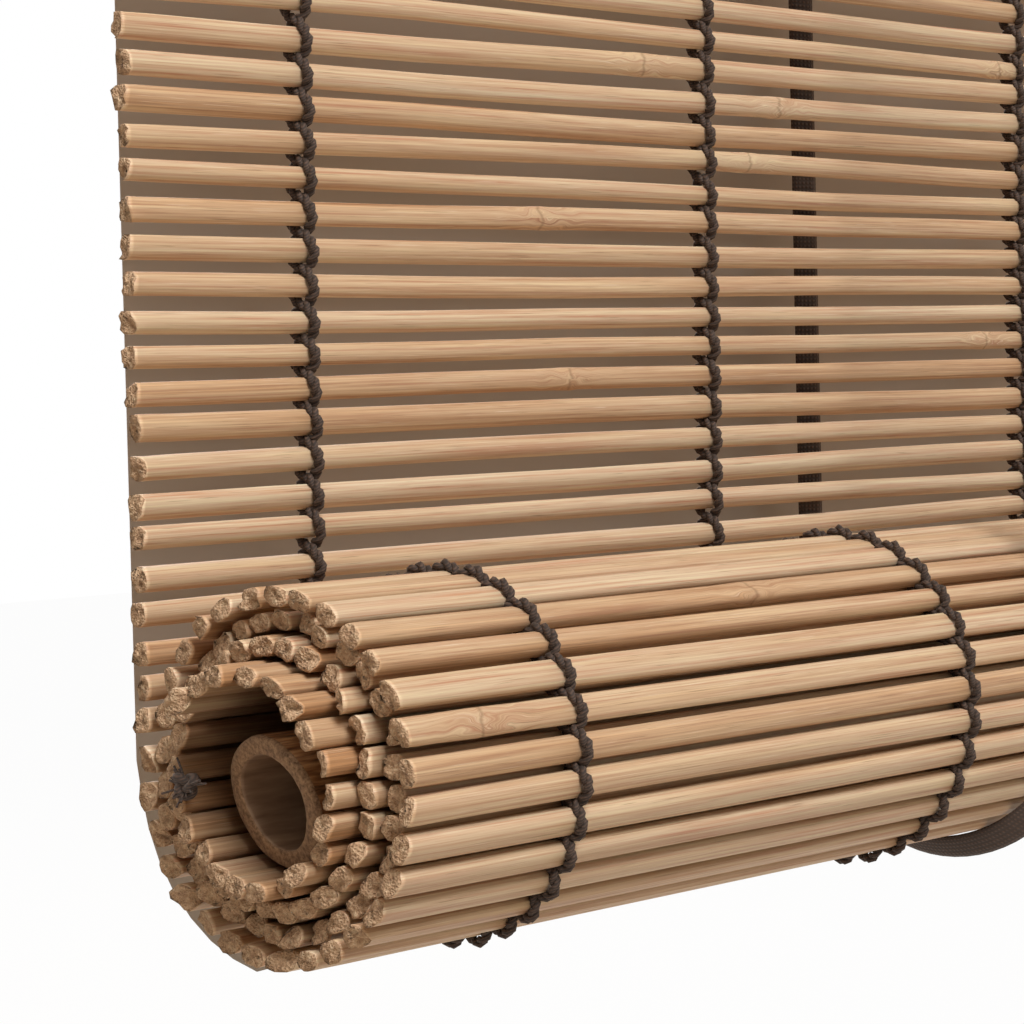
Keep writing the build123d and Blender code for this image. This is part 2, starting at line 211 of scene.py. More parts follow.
FLOOR_WHITE = 0.97
floor_paint, tree, shader = new_finish("white matt floor paint", Base_Color=rgb("#b7aa9a"), Roughness=0.9)
path = add_node(tree, "ShaderNodeLightPath", out="Is Camera Ray").node
seen = add_node(tree, "ShaderNodeMath", {0: path.outputs["Is Camera Ray"], 1: path.outputs["Is Glossy Ray"]},
                operation="MAXIMUM")
seen = add_node(tree, "ShaderNodeMath", {0: seen, 1: path.outputs["Is Transmission Ray"]}, operation="MAXIMUM")
share = add_node(tree, "ShaderNodeMath", {0: seen, 1: FLOOR_WHITE}, operation="MULTIPLY")
white = add_node(tree, "ShaderNodeEmission", {"Color": rgb("#ffffff"), "Strength": 1.0})
both = add_node(tree, "ShaderNodeMixShader", {0: share, 1: shader.outputs[0], 2: white})
tree.links.new(both, tree.nodes["Material Output"].inputs["Surface"])


# %% Floor
def sheet_card(name, corners, material):
    """A flat card through the given corners, for the floor or the wall behind the blind."""
    bm = bmesh.new()
    bm.faces.new([bm.verts.new(Vector(corner) * MM) for corner in corners])
    mesh = bpy.data.meshes.new(name)
    bm.to_mesh(mesh)
    card = bpy.data.objects.new(name, mesh)
    mesh.materials.append(material)
    bpy.context.scene.collection.objects.link(card)


FLOOR_Z, FLOOR_REACH = -720, 4000
floor_corners = [(x, y, FLOOR_Z) for x, y in ((-1, -1), (1, -1), (1, 1), (-1, 1))]
sheet_card("floor", [(x * FLOOR_REACH, y * FLOOR_REACH, z) for x, y, z in floor_corners], floor_paint)
print("floor at", FLOOR_Z, "mm")

# %% The wall behind the blind
# The wall that the blind hangs on shows only between the reeds. Its taupe is painted shade: the card is darker
# than the white round the blind and stands only behind it, where the mat shades the wall, and the reeds' own
# shadows fall on it as well. Its card ends where the camera sees the ends of the mat and the curve of the roll, so
# nothing of it stands beside them. It is clear from behind and to the lamps, so that the rear of the blind is
# seen and lit.
def behind(place):
    """Where the camera sees a place of the blind on the wall, in millimetres."""
    eye = EYE / MM
    sight = Vector(place) - eye
    return eye + sight * (WALL_Y - eye.y) / sight.y


WALL_Y, WALL_MARGIN = 1.0, 14.0
# Painted shade: a taupe card, darker than the white round the blind, for the shaded wall between the reeds.
wall_paint_with_painted_shade, tree, shader = new_finish("taupe wall paint as painted shade", Base_Color=rgb("#b0aaa4"), Roughness=0.95)
clear = add_node(tree, "ShaderNodeBsdfTransparent")
facing = add_node(tree, "ShaderNodeNewGeometry", out="Backfacing")
shadow = add_node(tree, "ShaderNodeLightPath", out="Is Shadow Ray")
hidden = add_node(tree, "ShaderNodeMath", {0: facing, 1: shadow}, operation="MAXIMUM")
wall_mix = add_node(tree, "ShaderNodeMixShader", {0: hidden, 1: shader.outputs[0], 2: clear})
tree.links.new(wall_mix, tree.nodes["Material Output"].inputs["Surface"])
outline = [behind((LEFT, mat_high.y, z)) for z in (RAIL_Z + WALL_MARGIN, AXIS_Z)]
for angle in np.radians(range(10, 81, 10)):
    reach_y, reach_z = ROLL_OUTSIDE * math.cos(angle), ROLL_OUTSIDE * math.sin(angle)
    outline.append(behind((LEFT + 0.4, AXIS_Y + reach_y, AXIS_Z - reach_z)))
outline += [Vector((RIGHT, WALL_Y, AXIS_Z - ROLL_RADIUS / 2)), Vector((RIGHT, WALL_Y, RAIL_Z + WALL_MARGIN))]
outline[0].z = RAIL_Z + WALL_MARGIN
sheet_card("wall", outline, wall_paint_with_painted_shade)
print("wall card corners:", len(outline))

# %% [markdown]
# ## One rod, made once
# Reeds, tapes and the core are all long closed rods. Instead of writing lists of vertices, a bmesh starts from
# one filled circle, and its end face is extruded ring by ring. Both ends are inset and poked, so that a cut
# end has points to roughen. The rod is drawn in counts: x is the number of its ring, and y and z lie on the
# unit circle. Later steps only move these vertices, so all rods keep the same clean mesh.

# %% A rod in ring counts
def rod_grid(sides, rings, insets=(0.3, 0.35)):
    """A mesh of a closed rod, whose end faces have the second material."""
    bm = bmesh.new()
    circle = bmesh.ops.create_circle(bm, cap_ends=True, segments=sides, radius=1)
    bmesh.ops.rotate(bm, verts=bm.verts, matrix=Matrix.Rotation(math.pi / 2, 3, "Y"))
    cap = circle["verts"][0].link_faces[0]
    for _ in range(rings - 1):
        grown = bmesh.ops.extrude_face_region(bm, geom=[cap])["geom"]
        cap = next(part for part in grown if isinstance(part, bmesh.types.BMFace))
        bmesh.ops.translate(bm, verts=cap.verts, vec=(1, 0, 0))
    ends = [face for face in bm.faces if len(face.verts) == sides]
    for depth in insets:
        bmesh.ops.inset_region(bm, faces=ends, thickness=depth)
    bmesh.ops.poke(bm, faces=ends)
    bmesh.ops.recalc_face_normals(bm, faces=bm.faces)
    grain = bm.loops.layers.uv.new("grain")
    for face in bm.faces:
        face.smooth = True
        face.material_index = int(abs(face.normal.x) > 0.5)
        centre = face.calc_center_median()
        middle_turn = math.atan2(centre.z, centre.y)
        for loop in face.loops:
            turn = math.atan2(loop.vert.co.z, loop.vert.co.y) - middle_turn
            turn = (turn + math.pi) % (2 * math.pi) - math.pi
            loop[grain].uv = (loop.vert.co.x, (middle_turn + turn) / (2 * math.pi))
    mesh = bpy.data.meshes.new("rod")
    bm.to_mesh(mesh)
    return mesh


class Rods:
    """Copies of one rod in one mesh, with what is needed to move their vertices and write them back."""

    def __init__(self, grid, count):
        bm = bmesh.new()
        for _ in range(count):
            bm.from_mesh(grid)
        self.mesh = bpy.data.meshes.new("rods")
        bm.to_mesh(self.mesh)
        self.count = count
        place = np.empty(len(grid.vertices) * 3)
        grid.vertices.foreach_get("co", place)
        self.ring, self.y, self.z = place.reshape(-1, 3).T
        self.ring = self.ring.round().astype(int)
        self.turn = np.arctan2(self.z, self.y)
        self.reach = np.hypot(self.y, self.z)

    def finish(self, name, place, along, girth, shift, body, **facts):
        """Writes the vertices in metres, the grain map in millimetres and one value per vertex for each fact."""
        mesh = self.mesh
        mesh.name = name
        mesh.vertices.foreach_set("co", (place * MM).astype(np.float32).ravel())
        corner = np.empty(len(mesh.loops), dtype=np.int32)
        mesh.loops.foreach_get("vertex_index", corner)
        grain = np.empty(len(mesh.loops) * 2)
        layer = mesh.uv_layers["grain"]
        layer.data.foreach_get("uv", grain)
        grain = grain.reshape(-1, 2)
        rod = corner // len(self.ring)
        grain[:, 0] = along.ravel()[corner] + shift[rod, 0]
        grain[:, 1] = grain[:, 1] * girth + shift[rod, 1]
        layer.data.foreach_set("uv", grain.ravel())
        for fact, values in facts.items():
            spot = mesh.attributes.new(fact, "FLOAT", "POINT")
            spot.data.foreach_set("value", values.astype(np.float32).ravel())
        mesh.update()
        piece = bpy.data.objects.new(name, mesh)
        bpy.context.scene.collection.objects.link(piece)
        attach(piece, body)
        return piece


print("rod mesh:", len(rod_grid(12, 4).polygons), "faces at 4 rings")

# %% [markdown]
# ## Reeds
# A reed is split from bamboo, so its section is a rounded square that is never quite even, it bends a little
# along its length, and its chopped ends are torn. Each reed gets its own slow bends and its own section, drawn
# from a seeded random source. A knot of the bamboo swells it a little. Rings crowd at the ends and at the knot,
# where the shape changes fast, and stand far apart elsewhere.

# %% Draw the reeds of one piece
REED_SIDES = 12
SQUARENESS = 3.0
END_RINGS = np.array([0.0, 0.7, 2.2, 6.0])
KNOT_RINGS = np.array([-7.0, -3.0, -1.0, 1.0, 3.0, 7.0])
LONG_RINGS = 18
KNOT_SWELL = 0.22
reed_grid = rod_grid(REED_SIDES, 2 * len(END_RINGS) + len(KNOT_RINGS) + LONG_RINGS)


class Reeds(Rods):
    """A bundle of reeds with their own bends, sections, knots and ends."""

    def __init__(self, count, knots, sway, tear, heights):
        super().__init__(reed_grid, count)
        self.wave = rng.uniform((260, 90), (560, 200), (count, 2))
        self.phase = rng.uniform(0, 2 * math.pi, (count, 2, 2))
        self.sway = np.asarray(sway)
        self.knot = np.where(rng.random(count) < 0.62, rng.uniform(-120, 290, count), RIGHT * 3)
        for number, place in knots.items():
            self.knot[number] = place
        self.left = LEFT + rng.normal(0, 0.22, count)
        self.right = RIGHT + rng.normal(0, 0.5, count)
        self.tear = tear
        self.heights = heights

    def bend(self, x):
        """How far each reed strays along the mat and across it, at x of shape (reeds, anything)."""
        swing = 0
        for i in range(2):
            size = self.sway * (0.75, 0.25)[i]
            turn = 2 * math.pi * x[..., None] / self.wave[:, None, i:i + 1] + self.phase[:, None, i]
            swing = swing + size * np.sin(turn)
        return swing[..., 0], swing[..., 1]

    def shape(self):
        """Each vertex as x, along the mat and across it, in shape (reeds, vertices)."""
        count, ring = self.count, self.ring
        span = np.linspace(0.04, 0.96, LONG_RINGS)
        rows = [self.left[:, None] + END_RINGS, self.right[:, None] - END_RINGS]
        rows.append(self.left[:, None] + (self.right - self.left)[:, None] * span)
        spread = np.minimum(np.abs(self.knot), RIGHT - 20)[:, None] * np.sign(self.knot)[:, None]
        rows.append(spread + KNOT_RINGS)
        rings = np.sort(np.concatenate(rows, axis=1), axis=1)
        x = rings[:, ring]
        near = np.exp(-((x - self.knot[:, None]) / 2.4) ** 2)
        section = 1 + 0.055 * np.sin(2 * self.turn + rng.uniform(0, 6.3, (count, 1)))
        section += 0.035 * np.sin(3 * self.turn + rng.uniform(0, 6.3, (count, 1)))
        section += rng.normal(0, 0.012, x.shape)
        corner = np.abs(np.cos(self.turn)) ** SQUARENESS + np.abs(np.sin(self.turn)) ** SQUARENESS
        reach = self.reach * section * corner ** (-1 / SQUARENESS)
        thick = rng.uniform(0.93, 1.03, (count, 1)) + KNOT_SWELL / REED_DEPTH * near
        tall = rng.uniform(*self.heights, (count, 1)) + KNOT_SWELL / REED_HEIGHT * near
        across = reach * np.cos(self.turn) * REED_DEPTH / 2 * thick
        along = reach * np.sin(self.turn) * REED_HEIGHT / 2 * tall
        x = x + self.torn(x, across, along)
        self.from_knot = x - self.knot[:, None]
        bend_along, bend_across = self.bend(x)
        return x, along + bend_along, across + bend_across

    def torn(self, x, across, along):
        """How far the chopped ends are pushed along the reed, most at the very end."""
        count, push = self.count, 0
        last = self.ring.max()
        for side, depth in ((1, self.ring), (-1, last - self.ring)):
            fade = np.choose(np.minimum(depth, 3), (1.0, 0.75, 0.3, 0.0))
            slant = rng.normal(0, 0.16, (2, count, 1)) * self.tear
            notch = rng.uniform(-0.3, 1.5, (count, 1)).clip(0) * self.tear
            cleft = np.cos(self.turn - rng.uniform(0, 2 * math.pi, (count, 1))).clip(0) ** 3
            rough = rng.normal(0, 0.2, x.shape) * (depth == 0)
            push = push + side * (fade * (slant[0] * across + slant[1] * along + notch * cleft) + rough)
        return push

    def tie(self, piece, *nodes):
        for finish in (split_bamboo, chopped_end):
            piece.data.materials.append(finish)
        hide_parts(*nodes)
        print(piece.name, "faces:", len(piece.data.polygons))


# %% [markdown]
# ## Finish of the reeds
# Split bamboo is pale straw to tan. Its fibres run along the reed as fine light and dark lines a fifth of a
# millimetre wide and some centimetres long. The map called grain follows each reed, in millimetres, so the
# fibres run along it and bend with it. The reed's tone is one random value that shifts its colour; on the
# innermost turns of the roll it is raised, which darkens those reeds as painted shade. The distance from its
# knot swirls the fibres and darkens a thin ring there. A chopped end shows the fibres as dark dots in a rough
# pale ground.

# %% The map of a reed, and its knot
FIBRE_LENGTH, FIBRE_WIDTH = 45.0, 0.43
CLOUD_LENGTH, CLOUD_WIDTH = 85.0, 1.8
TEAR_LENGTH, TEAR_WIDTH = 11.0, 0.15
WANDER_LENGTH, WANDER_WIDTH = 6.0, 2.0
SWIRL_REACH, SWIRL_SHIFT = 11.0, 5.5

# Split bamboo: a dry, cut wood-like surface with a dull gloss from its hard fibres.
split_bamboo, tree, shader = new_finish("split bamboo reed", Roughness=0.56)
grain = add_node(tree, "ShaderNodeUVMap", uv_map="grain")
tone = add_node(tree, "ShaderNodeAttribute", out="Fac", attribute_name="tone")
away = add_node(tree, "ShaderNodeAttribute", out="Fac", attribute_name="from_knot")
bent = add_node(tree, "ShaderNodeMapping", {"Vector": grain, "Scale": (1 / WANDER_LENGTH, 1 / WANDER_WIDTH, 1)})
wander = add_node(tree, "ShaderNodeTexNoise", {"Vector": bent, "Scale": 1.0, "Detail": 1.0})
distance = add_node(tree, "ShaderNodeMath", {0: away}, operation="ABSOLUTE")
near = add_node(tree, "ShaderNodeMapRange", {"Value": distance, "From Min": SWIRL_REACH, "From Max": 0.0})
lift = add_node(tree, "ShaderNodeMath", {0: wander, 1: 0.5}, operation="SUBTRACT")
lift = add_node(tree, "ShaderNodeMath", {0: lift, 1: near}, operation="MULTIPLY")
split = add_node(tree, "ShaderNodeSeparateXYZ", {0: grain}).node
side = add_node(tree, "ShaderNodeMath", {0: lift, 1: SWIRL_SHIFT, 2: split.outputs[1]}, operation="MULTIPLY_ADD")
lines = add_node(tree, "ShaderNodeCombineXYZ", {0: split.outputs[0], 1: side})
print("knot swirl reaches", SWIRL_REACH, "mm")

# %% Fibres, tears and colour of the reed
fine = add_node(tree, "ShaderNodeMapping", {"Vector": lines, "Scale": (1 / FIBRE_LENGTH, 1 / FIBRE_WIDTH, 1)})
fibre = add_node(tree, "ShaderNodeTexNoise", {"Vector": fine, "Scale": 1.0, "Detail": 4.0, "Roughness": 0.66})
broad = add_node(tree, "ShaderNodeMapping", {"Vector": lines, "Scale": (1 / CLOUD_LENGTH, 1 / CLOUD_WIDTH, 1)})
cloud = add_node(tree, "ShaderNodeTexNoise", {"Vector": broad, "Scale": 1.0, "Detail": 2.0})
torn = add_node(tree, "ShaderNodeMapping", {"Vector": lines, "Scale": (1 / TEAR_LENGTH, 1 / TEAR_WIDTH, 1)})
tear = add_node(tree, "ShaderNodeTexNoise", {"Vector": torn, "Scale": 1.0, "Detail": 2.0})
shade = add_node(tree, "ShaderNodeMath", {0: cloud, 1: 0.5}, operation="SUBTRACT")
shade = add_node(tree, "ShaderNodeMath", {0: shade, 1: 1.1, 2: tone}, operation="MULTIPLY_ADD")
# A higher tone darkens the reed: it is random for most reeds, and painted shade on the innermost turns of the roll.
base = add_node(tree, "ShaderNodeValToRGB", {0: shade}, stops=((0.0, "#ddc5aa"), (0.55, "#ceae8d"), (1.0, "#b88c65")))
light = add_node(tree, "ShaderNodeValToRGB", {0: fibre}, stops=((0.3, "#8f7f70"), (0.5, "#bcbab6"), (0.72, "#e0dfda")))
colour = add_node(tree, "ShaderNodeMix", {0: 0.85, 6: base, 7: light}, out=2, data_type="RGBA", blend_type="OVERLAY")
pale = add_node(tree, "ShaderNodeMapRange", {"Value": tear, "From Min": 0.36, "From Max": 0.3, "To Max": 0.45})
colour = add_node(tree, "ShaderNodeMix", {0: pale, 6: colour, 7: rgb("#f0dfc6")}, out=2, data_type="RGBA")
dark = add_node(tree, "ShaderNodeMapRange", {"Value": tear, "From Min": 0.64, "From Max": 0.72, "To Max": 0.55})
colour = add_node(tree, "ShaderNodeMix", {0: dark, 6: colour, 7: rgb("#7f5934")}, out=2, data_type="RGBA")
waver = add_node(tree, "ShaderNodeMath", {0: wander, 1: 2.4, 2: away}, operation="MULTIPLY_ADD")
ring = add_node(tree, "ShaderNodeMath", {0: waver, 1: 1.2}, operation="SUBTRACT")
ring = add_node(tree, "ShaderNodeMath", {0: ring}, operation="ABSOLUTE")
ring = add_node(tree, "ShaderNodeMapRange", {"Value": ring, "From Min": 0.5, "From Max": 0.0, "To Max": 0.5})
colour = add_node(tree, "ShaderNodeMix", {0: ring, 6: colour, 7: rgb("#7f5934")}, out=2, data_type="RGBA")
tree.links.new(colour, shader.inputs["Base Color"])
height = add_node(tree, "ShaderNodeMath", {0: fibre, 1: dark}, operation="SUBTRACT")
bump = add_node(tree, "ShaderNodeBump", {"Height": height, "Strength": 0.5, "Distance": 0.09 * MM})
tree.links.new(bump, shader.inputs["Normal"])
print("fibres", FIBRE_WIDTH, "mm wide")

# %% Chopped end
# The knife crushes the fibres of the end, so it is matt, rough and a little darker than the sides.
DOT_SPACING = 0.36 * MM
PATCH_SIZE = 0.9 * MM
chopped_end, tree, shader = new_finish("chopped bamboo end grain", Roughness=0.85)
spot = add_node(tree, "ShaderNodeTexCoord", out="Object")
dots = add_node(tree, "ShaderNodeTexVoronoi", {"Vector": spot, "Scale": 1 / DOT_SPACING})
patch = add_node(tree, "ShaderNodeTexNoise", {"Vector": spot, "Scale": 1 / PATCH_SIZE, "Detail": 4.0, "Roughness": 0.7})
ground = add_node(tree, "ShaderNodeValToRGB", {0: patch}, stops=((0.3, "#98765a"), (0.5, "#bf9c7b"), (0.7, "#d9bd9b")))
pores = add_node(tree, "ShaderNodeMapRange", {"Value": dots, "From Min": 0.4, "From Max": 0.1, "To Max": 0.35})
colour = add_node(tree, "ShaderNodeMix", {0: pores, 6: ground, 7: rgb("#7d522a")}, out=2, data_type="RGBA")
tree.links.new(colour, shader.inputs["Base Color"])
rough = add_node(tree, "ShaderNodeMath", {0: patch, 1: dots}, operation="ADD")
bump = add_node(tree, "ShaderNodeBump", {"Height": rough, "Strength": 0.9, "Distance": 0.35 * MM})
tree.links.new(bump, shader.inputs["Normal"])
print("finishes:", split_bamboo.name, "and", chopped_end.name)

# %% [markdown]
# ## The hanging mat
# Each reed of the mat is laid at its row. Above the rail's lower edge the rows are clamped and stay, and the
# rows below it close up when the roll is lifted, so the rows above and below that edge are two pieces.

# %% Lay the hanging reeds
HANGING_KNOTS = {9: -213.0, 19: -194.0, 18: -160.0, 16: -168.0, 20: -95.0, 14: -219.0, 12: -60.0}
rows = mat_low.z + REED_HEIGHT / 2 + REED_PITCH * np.arange(ROW_COUNT)
hanging = Reeds(ROW_COUNT, HANGING_KNOTS, (0.5, 0.16), 0.7, (0.89, 1.08))
hanging.left -= np.interp(np.arange(ROW_COUNT), (0, 20, 60), (0.0, 0.7, 0.0))
x, along, across = hanging.shape()
place = np.stack([x, MAT_Y + across, rows[:, None] + along], axis=-1)
tone = np.clip(rng.normal(0.42, 0.2, ROW_COUNT), 0, 1)[:, None] * np.ones_like(x)
shift = rng.uniform(0, 900, (ROW_COUNT, 2))
REED_GIRTH = 2 * (REED_HEIGHT + REED_DEPTH) * 0.86
reed_mat = hanging.finish("hanging_reeds", place, x, REED_GIRTH, shift, "head",
                          tone=tone, from_knot=hanging.from_knot)
hanging.tie(reed_mat, "hanging_mat")

# %% Split off the clamped rows
bm = bmesh.new()
bm.from_mesh(reed_mat.data)
clamped = bm.copy()
for part, keep_high in ((bm, False), (clamped, True)):
    gone = [v for v in part.verts if (v.co.z > RAIL_Z * MM) != keep_high]
    bmesh.ops.delete(part, geom=gone, context="VERTS")
clamped_mesh = reed_mat.data.copy()
clamped.to_mesh(clamped_mesh)
bm.to_mesh(reed_mat.data)
clamped_reeds = bpy.data.objects.new("clamped_reeds", clamped_mesh)
bpy.context.scene.collection.objects.link(clamped_reeds)
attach(clamped_reeds, "head")
print("clamped reeds:", len(clamped_mesh.vertices) // len(reed_grid.vertices))

# %% [markdown]
# ## The roll
# The roll is the same mat wound forwards in a spiral. A reed of it is laid at its angle: across the mat points
# away from the axis, along the mat points round it. The angles step by one reed spacing each, and the inner
# turns are wound tighter. The turns have slid a little along each other, the innermost one the furthest.

# %% Lay the rolled reeds
def spiral_radius(angle):
    return ROLL_RADIUS - TURN_SPACING * angle / (2 * math.pi)


roll_angles = [0.0]
while True:
    pitch = REED_PITCH if roll_angles[-1] < 2 * math.pi else INNER_PITCH
    following = roll_angles[-1] + pitch / spiral_radius(roll_angles[-1])
    if following > ROLL_TURNS * 2 * math.pi:
        break
    roll_angles.append(following)
roll_angles = np.array(roll_angles)
roll_turns = roll_angles / (2 * math.pi)
ROLL_KNOTS = {17: -286.0, 20: -220.0, 24: -70.0}
SLID_TURNS = (0.0, 0.9, 1.2, 1.9, 2.2, 2.75, 3.0, 3.5, 3.72, 3.9)
SLID = (0.0, 0.0, 1.5, 1.3, -0.6, -0.8, -3.6, -4.4, -8.0, -9.0)

rolled = Reeds(len(roll_angles), ROLL_KNOTS, (0.16, 0.06), 1.0, (0.97, 1.12))
slid = np.interp(roll_turns, SLID_TURNS, SLID)
rolled.left = rolled.left + slid + rng.normal(0, 0.5, len(slid)) * (roll_turns > 1)
rolled.right = rolled.right + slid
x, along, across = rolled.shape()
reach = spiral_radius(roll_angles)[:, None] + across
cos, sin = np.cos(roll_angles)[:, None], np.sin(roll_angles)[:, None]
place = np.stack([x, AXIS_Y + reach * cos - along * sin, AXIS_Z - reach * sin - along * cos], axis=-1)
# Painted shade: reeds past 2.8 turns, deep inside the roll, get a higher tone, which darkens them.
tone = np.clip(rng.normal(0.42, 0.2, len(slid)) + 0.3 * (roll_turns > 2.8), 0, 1.2)[:, None] * np.ones_like(x)
shift = rng.uniform(0, 900, (len(slid), 2))

# The outer and the inner reeds are two pieces, so that neither is too heavy to export.
OUTER_REEDS = 54
for name, part in (("rolled_reeds", slice(0, OUTER_REEDS)), ("inner_reeds", slice(OUTER_REEDS, None))):
    half = Rods(reed_grid, len(roll_angles[part]))
    reed_roll = half.finish(name, place[part], x[part], REED_GIRTH, shift[part], "roll",
                            tone=tone[part], from_knot=rolled.from_knot[part])
    rolled.tie(reed_roll, "mat_roll")

# %% [markdown]
# ## Warp threads
# A warp is two plied threads that pass in front of and behind each reed in turn, and twist round each other
# in every gap. So each thread is a helix with half a turn to a reed, squared off so that it hugs the reed, and
# each of its two plies is a finer helix round it. The mat's own line, down the rows and round the roll, is the
# backbone of both. Each ply is drawn as a curve with a round bevel and then turned into a mesh.

# %% The line of the mat
THREAD_TURNS = 0.9
HUG = 2.2
HUG_POWER = 0.6
CROSSING = 0.34
PLY_RADIUS = 0.46
PLY_OFFSET = 0.41
PLY_PITCH = 3.2
STEPS_PER_REED = 13
CROWDING = 0.06


def warp_line(place_x, hanging_part):
    """Centres (along y and z) and rearward directions of the reeds that a warp at place_x ties."""
    spot = np.full((1, 1), place_x)
    if hanging_part:
        low = np.array([i for i in range(ROW_COUNT) if rows[i] < RAIL_Z][::-1])
        stray, depth = (b[low, 0] for b in hanging.bend(np.repeat(spot, ROW_COUNT, axis=0)))
        centre = np.stack([MAT_Y + depth, rows[low] + stray], axis=-1)
        rear = np.tile((1.0, 0.0), (len(low), 1))
        return centre, rear, 0
    count = int((roll_turns < THREAD_TURNS).sum())
    stray, depth = (b[:count, 0] for b in rolled.bend(np.repeat(spot, len(roll_angles), axis=0)))
    angle = roll_angles[:count]
    rear = np.stack([np.cos(angle), -np.sin(angle)], axis=-1)
    onward = np.stack([-np.sin(angle), -np.cos(angle)], axis=-1)
    centre = rear * (spiral_radius(angle) + depth)[:, None] + onward * stray[:, None]
    return centre + (AXIS_Y, AXIS_Z), rear, 1


# %% One warp as four plies
def ply_paths(place_x, hanging_part):
    """The points of the four plies of one warp."""
    centre, rear, start = warp_line(place_x, hanging_part)
    count = len(centre)
    beat = np.arange(0, (count - 1) * STEPS_PER_REED + 1) / STEPS_PER_REED
    beat = beat + CROWDING * np.sin(2 * math.pi * beat)
    reed = np.arange(count)
    base = np.stack([np.interp(beat, reed, centre[:, i]) for i in range(2)], axis=-1)
    back = np.stack([np.interp(beat, reed, rear[:, i]) for i in range(2)], axis=-1)
    parity = ROW_COUNT * start
    for thread in range(2):
        turn = math.pi * (beat + parity + thread)
        hug = np.sign(np.cos(turn)) * np.abs(np.cos(turn)) ** HUG_POWER * HUG
        path = np.column_stack([place_x + CROSSING * np.sin(turn), base - back * hug[:, None]])
        ahead = np.gradient(path, axis=0)
        run = np.concatenate([[0], np.cumsum(np.linalg.norm(np.diff(path, axis=0), axis=1))])
        ahead /= np.linalg.norm(ahead, axis=1)[:, None]
        sideways = np.cross(ahead, (1.0, 0.0, 0.0))
        sideways /= np.linalg.norm(sideways, axis=1)[:, None]
        outward = np.cross(ahead, sideways)
        for ply in range(2):
            twist = (2 * math.pi * run / PLY_PITCH + math.pi * ply)[:, None]
            yield path + PLY_OFFSET * (np.cos(twist) * sideways + np.sin(twist) * outward)


def plied_thread(name, paths, body, radius=PLY_RADIUS):
    """Plies as round bevelled curves, turned into one mesh piece."""
    curve = bpy.data.curves.new(name, "CURVE")
    curve.dimensions = "3D"
    curve.bevel_depth = radius * MM
    curve.bevel_resolution = 1
    curve.use_fill_caps = True
    for path in paths:
        spline = curve.splines.new("POLY")
        spline.points.add(len(path) - 1)
        spline.points.foreach_set("co", np.column_stack([path * MM, np.ones(len(path))]).ravel())
        spline.use_smooth = True
    drawn = bpy.data.objects.new(name, curve)
    bpy.context.scene.collection.objects.link(drawn)
    graph = bpy.context.evaluated_depsgraph_get()
    mesh = bpy.data.meshes.new_from_object(drawn.evaluated_get(graph))
    bpy.data.objects.remove(drawn)
    mesh.materials.clear()
    mesh.materials.append(cotton_thread)
    piece = bpy.data.objects.new(name, mesh)
    bpy.context.scene.collection.objects.link(piece)
    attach(piece, body)
    return piece


# %% [markdown]
# ## Finish of the threads
# The threads are dyed cotton, dark brown with a dull sheen. Their yarns are finer than the plies, so they are
# drawn as slanted lines of bump a third of a millimetre apart, and a soft sheen stands for the fuzz.

# %% Dyed cotton
WAVE_UNIT = 2 * math.pi / 20
YARN_SPACING = 0.35 * MM
FUZZ_SIZE = 0.7 * MM
cotton_thread, tree, shader = new_finish("dyed cotton thread", Roughness=0.8, Sheen_Weight=0.2,
                                         Sheen_Tint=rgb("#b09a88"), Sheen_Roughness=0.5)
spot = add_node(tree, "ShaderNodeTexCoord", out="Object")
slant = add_node(tree, "ShaderNodeMapping", {"Vector": spot, "Rotation": (0.0, 0.6, 0.0)})
yarn = add_node(tree, "ShaderNodeTexWave", {"Vector": slant, "Scale": WAVE_UNIT / YARN_SPACING, "Distortion": 1.5,
                                            "Detail": 1.0}, out="Fac", bands_direction="Z")
fuzz = add_node(tree, "ShaderNodeTexNoise", {"Vector": spot, "Scale": 1 / FUZZ_SIZE, "Detail": 2.0})
shade = add_node(tree, "ShaderNodeMath", {0: fuzz, 1: 0.55}, operation="MULTIPLY")
shade = add_node(tree, "ShaderNodeMath", {0: yarn, 1: 0.45, 2: shade}, operation="MULTIPLY_ADD")
dyed = add_node(tree, "ShaderNodeValToRGB", {0: shade}, stops=((0.2, "#20160f"), (0.55, "#39291f"), (0.85, "#594438")))
tree.links.new(dyed, shader.inputs["Base Color"])
bump = add_node(tree, "ShaderNodeBump", {"Height": shade, "Strength": 0.6, "Distance": 0.12 * MM})
tree.links.new(bump, shader.inputs["Normal"])
print("finish:", cotton_thread.name)

# %% A knotted end caught in the roll
KNOT_PLACE = np.array((-304.5, -26.2, -400.8))
FRAYED_RADIUS = 0.16


def knot_path():
    """An overhand knot, drawn as a trefoil."""
    t = np.linspace(0, 2 * math.pi, 60)[:, None]
    loops = np.hstack([0.5 * np.sin(3 * t), np.sin(t) + 2 * np.sin(2 * t), np.cos(t) - 2 * np.cos(2 * t)])
    yield KNOT_PLACE + loops * (0.95, 0.66, 0.48)
    yield KNOT_PLACE + np.linspace((0.2, 0, 0), (3.5, 1.8, 0.2), 8)


def frayed_paths(count):
    """Loose yarns that spread from the knot and curl."""
    share = np.linspace(0, 1, 9)[:, None]
    for _ in range(count):
        angle = rng.uniform(0, 2 * math.pi)
        reach = rng.uniform(1.8, 3.6)
        outward = np.array((-0.5 * rng.random(), math.cos(angle), 0.7 * math.sin(angle))) * reach
        curl = rng.normal(0, 0.7, 3)
        yield KNOT_PLACE + outward * share + curl * share ** 2 * (0.4, 1, 1)


for name, paths, radius in (("thread_knot", knot_path(), 0.66), ("frayed_yarns", frayed_paths(24), FRAYED_RADIUS)):
    plied_thread(name, paths, "roll", radius)
print("knot at", KNOT_PLACE)

